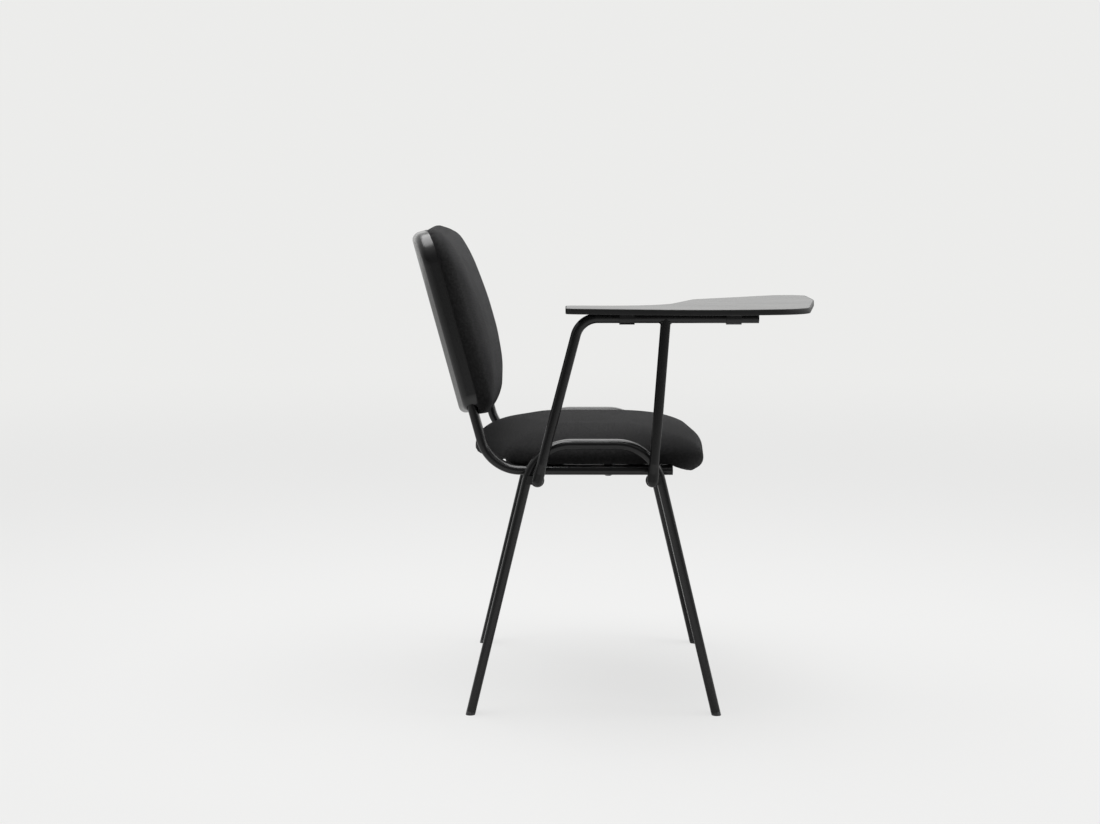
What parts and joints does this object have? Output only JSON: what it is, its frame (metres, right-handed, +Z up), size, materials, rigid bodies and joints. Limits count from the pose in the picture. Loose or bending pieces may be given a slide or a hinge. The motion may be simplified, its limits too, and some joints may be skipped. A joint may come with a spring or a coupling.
{
  "type": "tablet arm chair",
  "caption": "Side chair on a flat-oval tube frame with an upholstered seat and back, and on the sitter's right a round-tube arm whose writing tablet folds up about the rail.",
  "frame": {"origin": "on the floor, under the middle of the whole chair's box", "axes": "+X forward, the way the sitter looks; +Y to the sitter's left; +Z up"},
  "size_m": [0.6964, 0.626, 0.7927],
  "materials": {
    "frame": "black satin powder coat",
    "glide": "dark grey moulded",
    "cap": "black moulded",
    "plywood": "raw",
    "foam": "open-cell foam",
    "cover": "charcoal black woven upholstery",
    "cloth": "thin black non-woven",
    "shell": "black moulded, fine grain",
    "zinc": "zinc plated",
    "screw": "black passivated",
    "tablet": "black laminate on board",
    "band": "black edge band"
  },
  "bodies": {
    "chair": {"side_frame_right": "frame", "side_frame_left": "frame", "seat_back_tube_right": "frame", "seat_back_tube_left": "frame", "frame_weld_beads": "frame", "front_cross_tube": "frame", "rear_cross_tube": "frame", "arm_rail_tube": "frame", "arm_front_post": "frame", "arm_lug_front": "frame", "arm_lug_rear": "frame", "tablet_rest_front": "frame", "tablet_rest_rear": "frame", "foot_glide_front_right": "glide", "foot_glide_front_left": "glide", "foot_glide_rear_right": "glide", "foot_glide_rear_left": "glide", "seat_tube_plug_right": "cap", "seat_tube_plug_left": "cap", "upright_cap_right": "cap", "upright_cap_left": "cap", "arm_rail_plug": "cap", "seat_spacers": "cap", "seat_board": "plywood", "back_board": "plywood", "seat_foam": "foam", "back_foam": "foam", "seat_cover": "cover", "back_cover": "cover", "seat_dust_cloth": "cloth", "back_shell": "shell", "seat_tee_nuts": "zinc", "back_bolts": "zinc", "back_tee_nuts": "zinc", "arm_studs": "zinc", "arm_washers": "zinc", "arm_nuts": "zinc", "seat_bolts": "screw"},
    "tablet": {"tablet_board": "tablet", "tablet_edge_band": "band", "hinge_saddle_front": "frame", "hinge_saddle_rear": "frame", "saddle_screws": "screw"}
  },
  "joints": [
    {"name": "tablet_fold", "type": "hinge", "parent": "chair", "child": "tablet", "pos_m": [0.093, -0.2285, 0.6462], "axis": [1, 0, 0], "range_deg": [0, 90]}
  ]
}
